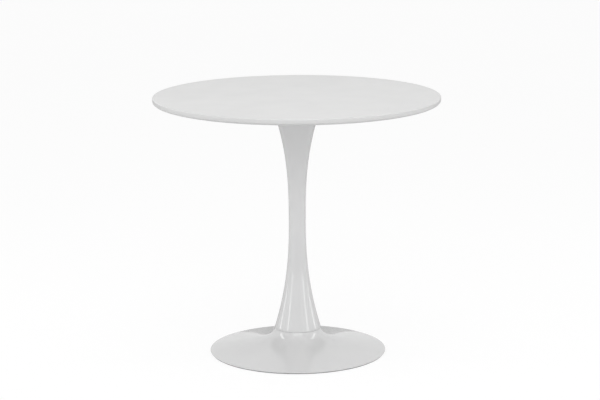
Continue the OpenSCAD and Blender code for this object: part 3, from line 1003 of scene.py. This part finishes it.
def satin_lacquer():
    tree, shader = start_finish("satin_lacquer", Specular_IOR_Level=0.5, Coat_Weight=0.15,
                                Coat_Roughness=0.25)
    shade = effect(tree, drift, scale=4.0, low=0.0, high=1.0)
    haze = effect(tree, drift, scale=14.0, low=0.33, high=0.41)
    swirls = effect(tree, hairlines, scale=18.0, width=0.01, amount=0.6)
    height = effect(tree, round_place, out="Height")
    underneath = spread(tree, height, *(board_low.z + end for end in UNDERSIDE_ENDS), 1.0, 0.0)
    peel = effect(tree, orange_peel, scale=420.0, grit=0.25)
    skin = bump(tree, peel * (underneath * 1.5 + 1.0) - swirls * 0.3, depth=0.03 * MM)
    wire(shader, tree, Base_Color=colour_between(tree, shade, LACQUER_SHADE, LACQUER_WHITE),
         Roughness=haze + underneath * UNDERSIDE_ROUGHER + swirls * 0.2, Normal=skin)


satin_lacquer()
count_nodes("satin_lacquer")

# %% Plate paint


def plate_paint():
    """A thinner coat than the column's, over a plate that was cut and faced."""
    tree, shader = start_finish("plate_paint", Specular_IOR_Level=0.5, Coat_Weight=0.2, Coat_Roughness=0.2)
    shade = effect(tree, drift, scale=9.0, low=0.0, high=1.0)
    haze = effect(tree, drift, scale=30.0, low=0.3, high=0.42)
    faced = effect(tree, rings, spacing=1.6 * MM, waver=0.1)
    peel = effect(tree, orange_peel, scale=320.0, grit=0.2)
    wire(shader, tree, Base_Color=colour_between(tree, shade, (0.74, 0.74, 0.74), (0.79, 0.79, 0.79)),
         Roughness=haze, Normal=bump(tree, peel + faced * 0.3, depth=0.04 * MM))


plate_paint()
count_nodes("plate_paint")

# %% [markdown]
# ### Bare and plated metal
#
# Zinc plating is a thin bright metal skin, clouded by its passivation, slightly blue here and straw there.
# The welded discs inside the table are plain machined steel with an oil film, the inserts are turned brass,
# and the countersunk bolts are blackened.

# %% Metals


def metal(name, low, high, rough, cloud=40.0, ring_spacing=0.0):
    """A bare metal between two tints and two roughnesses; cloud is how fine its clouds are."""
    tree, shader = start_finish(name, Metallic=1.0, Specular_IOR_Level=0.5)
    tint = effect(tree, drift, scale=cloud, low=0.0, high=1.0)
    haze = effect(tree, drift, scale=cloud * 4.0, low=rough[0], high=rough[1])
    scratches = effect(tree, hairlines, scale=160.0, width=0.03, amount=0.7)
    texture = effect(tree, orange_peel, scale=900.0, grit=0.5)
    if ring_spacing:
        texture = texture * 0.4 + effect(tree, rings, spacing=ring_spacing, waver=0.05)
    wire(shader, tree, Base_Color=colour_between(tree, tint, low, high), Roughness=haze + scratches * 0.15,
         Normal=bump(tree, texture - scratches * 0.5, depth=0.02 * MM))


metal("zinc_plate", (0.62, 0.63, 0.66), (0.74, 0.73, 0.69), rough=(0.22, 0.36), cloud=120.0)
metal("oiled_steel", (0.33, 0.33, 0.34), (0.45, 0.44, 0.43), rough=(0.24, 0.4), ring_spacing=0.7 * MM)
metal("turned_brass", (0.72, 0.52, 0.24), (0.8, 0.62, 0.34), rough=(0.2, 0.34), cloud=200.0)
metal("black_oxide", (0.035, 0.035, 0.04), (0.07, 0.068, 0.066), rough=(0.35, 0.5), cloud=150.0)
count_nodes("zinc_plate", "oiled_steel", "turned_brass", "black_oxide")

# %% [markdown]
# ### Iron, plastic and trim
#
# The weight is cast in sand, so it is grainy, and it got one coat of black primer. The cover is moulded
# against a spark-eroded tool, which leaves a fine even grain. The trim is soft and slightly cloudy.

# %% Iron and plastics


def primed_iron():
    tree, shader = start_finish("primed_iron", Specular_IOR_Level=0.4)
    tone = effect(tree, drift, scale=25.0, low=0.0, high=1.0)
    sand = effect(tree, orange_peel, scale=700.0, grit=0.9)
    wire(shader, tree, Base_Color=colour_between(tree, tone, (0.022, 0.022, 0.024), (0.05, 0.048, 0.046)),
         Roughness=effect(tree, drift, scale=80.0, low=0.5, high=0.72),
         Normal=bump(tree, sand, depth=0.25 * MM))


def moulded_black_plastic():
    tree, shader = start_finish("moulded_black_plastic", Specular_IOR_Level=0.45)
    tone = effect(tree, drift, scale=7.0, low=0.0, high=1.0)
    grain = effect(tree, orange_peel, scale=1500.0, grit=0.4)
    flow = effect(tree, rings, spacing=30 * MM, waver=1.5)
    wire(shader, tree, Base_Color=colour_between(tree, tone, (0.018, 0.018, 0.019), (0.032, 0.032, 0.033)),
         Roughness=effect(tree, drift, scale=40.0, low=0.42, high=0.55) + flow * 0.03,
         Normal=bump(tree, grain, depth=0.06 * MM))


def soft_clear_trim():
    tree, shader = start_finish("soft_clear_trim", Specular_IOR_Level=0.5, Subsurface_Weight=0.2,
                                Subsurface_Scale=2 * MM)
    tone = effect(tree, drift, scale=30.0, low=0.0, high=1.0)
    dust = noise(tree, 900.0, detail=3.0, roughness=0.7)
    wire(shader, tree, Base_Color=colour_between(tree, tone, (0.30, 0.30, 0.31), (0.42, 0.42, 0.42)),
         Roughness=spread(tree, dust, *NOISE_RANGE, to_low=0.35, to_high=0.6),
         Normal=bump(tree, effect(tree, orange_peel, scale=600.0, grit=0.3), depth=0.04 * MM))


primed_iron()
moulded_black_plastic()
soft_clear_trim()
count_nodes("primed_iron", "moulded_black_plastic", "soft_clear_trim")

# %% [markdown]
# ## Every piece in its place
#
# Each finished piece hangs on the body it moves with, and the engineering solid it stands for is hidden. The
# list also names, for each piece, the slot of the record that its finish belongs to. Solids that are right as
# they are keep their mesh and only get a finish.

# %% Tell the frame
PIECES = [
    (board, "tabletop", "board"),
    (column, "column_shell", "column_paint"),
    (base, "base_shell", "base_paint"),
    (trim, "floor_trim", "trim_plastic"),
    (cover, "bottom_cover", "black_plastic"),
    (board_screws, "board_screws", "zinc"),
    (board_washers, "board_screw_washers", "zinc"),
    (neck_bolts, "neck_bolts", "zinc"),
    (neck_washers, "neck_flat_washers", "zinc"),
    (cover_screws, "cover_screws", "zinc"),
]
KEPT_SOLIDS = {
    "mounting_plate": "plate_paint",
    "threaded_inserts": "turned_brass",
    "plate_bolts": "black_oxide",
    "column_top_flange": "oiled_steel",
    "column_foot_flange": "oiled_steel",
    "hub_plate": "oiled_steel",
    "neck_spring_washers": "zinc_plate",
    "weight_ring": "primed_iron",
    "weight_studs": "zinc_plate",
    "weight_washers": "zinc_plate",
    "weight_nuts": "zinc_plate",
}
for piece, node, slot in PIECES:
    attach(piece, "root")
    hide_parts(node)
for node, name in KEPT_SOLIDS.items():
    for place in nodes[node].material_slots:
        place.material = finish[name]
print(len(PIECES), "pieces made,", len(KEPT_SOLIDS), "solids kept")

# %% [markdown]
# ## Floor and light
#
# A white table is drawn by what it reflects. In a white room it has almost no shadows, so its shape shows
# only as soft steps of grey. The room here has bright walls, a darker ceiling, a pale floor, large soft
# lights overhead and in front, and a smaller one over the board. Camera rays see the room nearly white, so
# that the table stands on a plain ground, but the table sees it a little darker. Tall narrow lights stand at
# the front and at the sides. They draw the upright streaks low on the column, where the gloss coat leans
# outwards and mirrors what stands higher up. The walls end at a height that the gloss coat shows too, as the
# soft dark patches on the base beside the neck.
#
# On the satin board and on the wide skirt of the base, seen low from behind, the strips would be wide white
# smears. Light linking gives each strip as three lights in one place: one for the column and all the rest,
# which mirror it, and one each for the board and the base, which it lights but which don't mirror it. Two
# more lights, only ever mirrored and only by the base, draw the short glints where its neck turns out.
#
# The floor has a round hole where the base hides it. Nobody sees the hole, but light comes up through it, so
# the underside isn't black when the camera looks up from below. From below, the floor itself is clear.

# %% Floor
HOLE_MARGIN = 0.5 * MM  # the trim covers the edge of the hole by this much
FLOOR_RINGS = (trim_outer - HOLE_MARGIN, 1.0, 6.0, 40.0)
FLOOR_STEPS = 96
FLOOR_ALBEDO = 0.76     # how pale the floor is in the light it gives back to the table
FLOOR_VARIES = 0.01     # and how far that drifts to either side
FLOOR_SHADOW = 0.17     # the share of that which the camera sees, as soft shadow
FLOOR_GLOW = 0.88       # what the camera sees on top of it


def make_floor():
    work = bmesh.new()
    rows = [[work.verts.new((r * math.cos(a), r * math.sin(a), 0))
             for a in (math.tau * k / FLOOR_STEPS for k in range(FLOOR_STEPS))] for r in FLOOR_RINGS]
    for near, far in zip(rows, rows[1:]):
        for k in range(FLOOR_STEPS):
            work.faces.new((near[k - 1], far[k - 1], far[k], near[k]))
    mesh = bpy.data.meshes.new("floor")
    work.to_mesh(mesh)
    work.free()
    floor = new_object("floor", mesh)
    material = bpy.data.materials.new("pale_floor")
    material.use_nodes = True
    tree = material.node_tree
    tree.nodes.clear()
    paint = tree.nodes.new("ShaderNodeBsdfPrincipled")
    paint.inputs["Roughness"].default_value = 0.9
    paint.inputs["Specular IOR Level"].default_value = 0.1
    paint.inputs["Emission Color"].default_value = (1, 1, 1, 1)
    seen = add(tree, "ShaderNodeLightPath", out="Is Camera Ray")
    tone = spread(tree, noise(tree, 0.8, detail=3.0), *NOISE_RANGE,
                  FLOOR_ALBEDO - FLOOR_VARIES, FLOOR_ALBEDO + FLOOR_VARIES)
    wire(paint, tree, Base_Color=tone * (seen * (FLOOR_SHADOW - 1) + 1), Emission_Strength=seen * FLOOR_GLOW)
    clear = tree.nodes.new("ShaderNodeBsdfTransparent")
    mix = tree.nodes.new("ShaderNodeMixShader")
    side = tree.nodes.new("ShaderNodeNewGeometry")
    output = tree.nodes.new("ShaderNodeOutputMaterial")
    tree.links.new(side.outputs["Backfacing"], mix.inputs[0])
    tree.links.new(paint.outputs[0], mix.inputs[1])
    tree.links.new(clear.outputs[0], mix.inputs[2])
    tree.links.new(mix.outputs[0], output.inputs[0])
    mesh.materials.append(material)
    print("floor:", len(mesh.polygons), "faces round a hole of radius", round(FLOOR_RINGS[0] / MM), "mm")
    return floor


make_floor()

# %% World
WORLD_WHITE = 0.985
WALL_GLOW = 0.83
CEILING_GLOW = 0.36
WALLS_END = (math.radians(36), math.radians(40))    # how high up, seen from the table


def make_world():
    world = bpy.data.worlds.new("white_room")
    world.use_nodes = True
    tree = world.node_tree
    seen = add(tree, "ShaderNodeLightPath", out="Is Camera Ray")
    direction = tree.nodes.new("ShaderNodeSeparateXYZ")
    plug(tree, direction.inputs[0], add(tree, "ShaderNodeTexCoord", out="Generated"))
    room = spread(tree, Flow(tree, direction.outputs[2]), math.sin(WALLS_END[0]), math.sin(WALLS_END[1]),
                  WALL_GLOW, CEILING_GLOW)
    background = tree.nodes["Background"]
    background.inputs["Color"].default_value = (1, 1, 1, 1)
    plug(tree, background.inputs["Strength"], room + seen * (room * -1 + WORLD_WHITE))
    bpy.context.scene.world = world


make_world()
print("walls glow", WALL_GLOW, "and the ceiling", CEILING_GLOW)

# %% Lights
SOFT_LIGHTS = [    # name, place, aimed at, width, height, brightness
    ("overhead", (0, -1.2, 3.4), (0, 0, 0.7), 3.2, 3.2, 0.55),
    ("over_the_board", (0, -0.3, 2.6), (0, 0, 0.7), 1.4, 1.4, 1.0),
    ("front", (0, -3.9, 3.0), (0, 0, 0.5), 3.4, 1.6, 1.4),
]
STRIPS = [    # name, direction in degrees round from the camera, width, lowest, highest, brightness
    ("strip_left", -53, 0.34, 0.15, 1.7, 3.1),
    ("strip_right", 53, 0.34, 0.15, 1.7, 3.1),
    ("strip_far_left", -101, 0.26, 0.05, 3.9, 3.4),
    ("strip_far_right", 101, 0.26, 0.05, 3.9, 3.4),
]
GLINTS = [    # name, direction in degrees round from the camera
    ("neck_glint_left", -91),
    ("neck_glint_right", 91),
]
GLINT_HEIGHT = 2.6
GLINT_AIM = (0, 0, 0.1)
GLINT_SIZE = (0.7, 2.4)
GLINT_BRIGHTNESS = 2.6
LIGHTS_AWAY = 3.0     # how far the strips and the glints stand from the column


def soft_light(name, place, aim, width, height, brightness):
    """A rectangular light. A light of area A and brightness B gives pi A B watts."""
    data = bpy.data.lights.new(name, "AREA")
    data.shape = "RECTANGLE"
    data.size, data.size_y = width, height
    data.energy = math.pi * width * height * brightness
    light = bpy.data.objects.new(name, data)
    light.location = place
    light.rotation_euler = (Vector(aim) - Vector(place)).to_track_quat("-Z", "Y").to_euler()
    light.visible_camera = False
    bpy.context.scene.collection.objects.link(light)
    return light


def reach(name, state, *pieces):
    """A group for light linking that takes in only these pieces, or everything but them."""
    group = bpy.data.collections.new(name)
    for piece in pieces:
        group.objects.link(piece)
    for member in group.collection_objects:
        member.light_linking.link_state = state
    return group


def beside_the_table(degrees, height):
    """A place at LIGHTS_AWAY from the column, so many degrees round from the camera."""
    angle = math.radians(degrees)
    return (LIGHTS_AWAY * math.sin(angle), -LIGHTS_AWAY * math.cos(angle), height)


on_the_board = reach("on_the_board", "INCLUDE", board)
on_the_base = reach("on_the_base", "INCLUDE", base)
on_the_rest = reach("on_the_rest", "EXCLUDE", board, base)
for values in SOFT_LIGHTS:
    soft_light(*values)
for name, degrees, width, lowest, highest, brightness in STRIPS:
    middle = (lowest + highest) / 2
    place = beside_the_table(degrees, middle)
    for group, mirrored in ((on_the_rest, True), (on_the_board, False), (on_the_base, False)):
        strip = soft_light(f"{name}_{group.name}", place, (0, 0, middle), width, highest - lowest, brightness)
        strip.light_linking.receiver_collection = group
        strip.visible_glossy = mirrored
for name, degrees in GLINTS:
    place = beside_the_table(degrees, GLINT_HEIGHT)
    glint = soft_light(name, place, GLINT_AIM, *GLINT_SIZE, GLINT_BRIGHTNESS)
    glint.light_linking.receiver_collection = on_the_base
    glint.visible_diffuse = False
bpy.context.scene.view_settings.view_transform = "Standard"
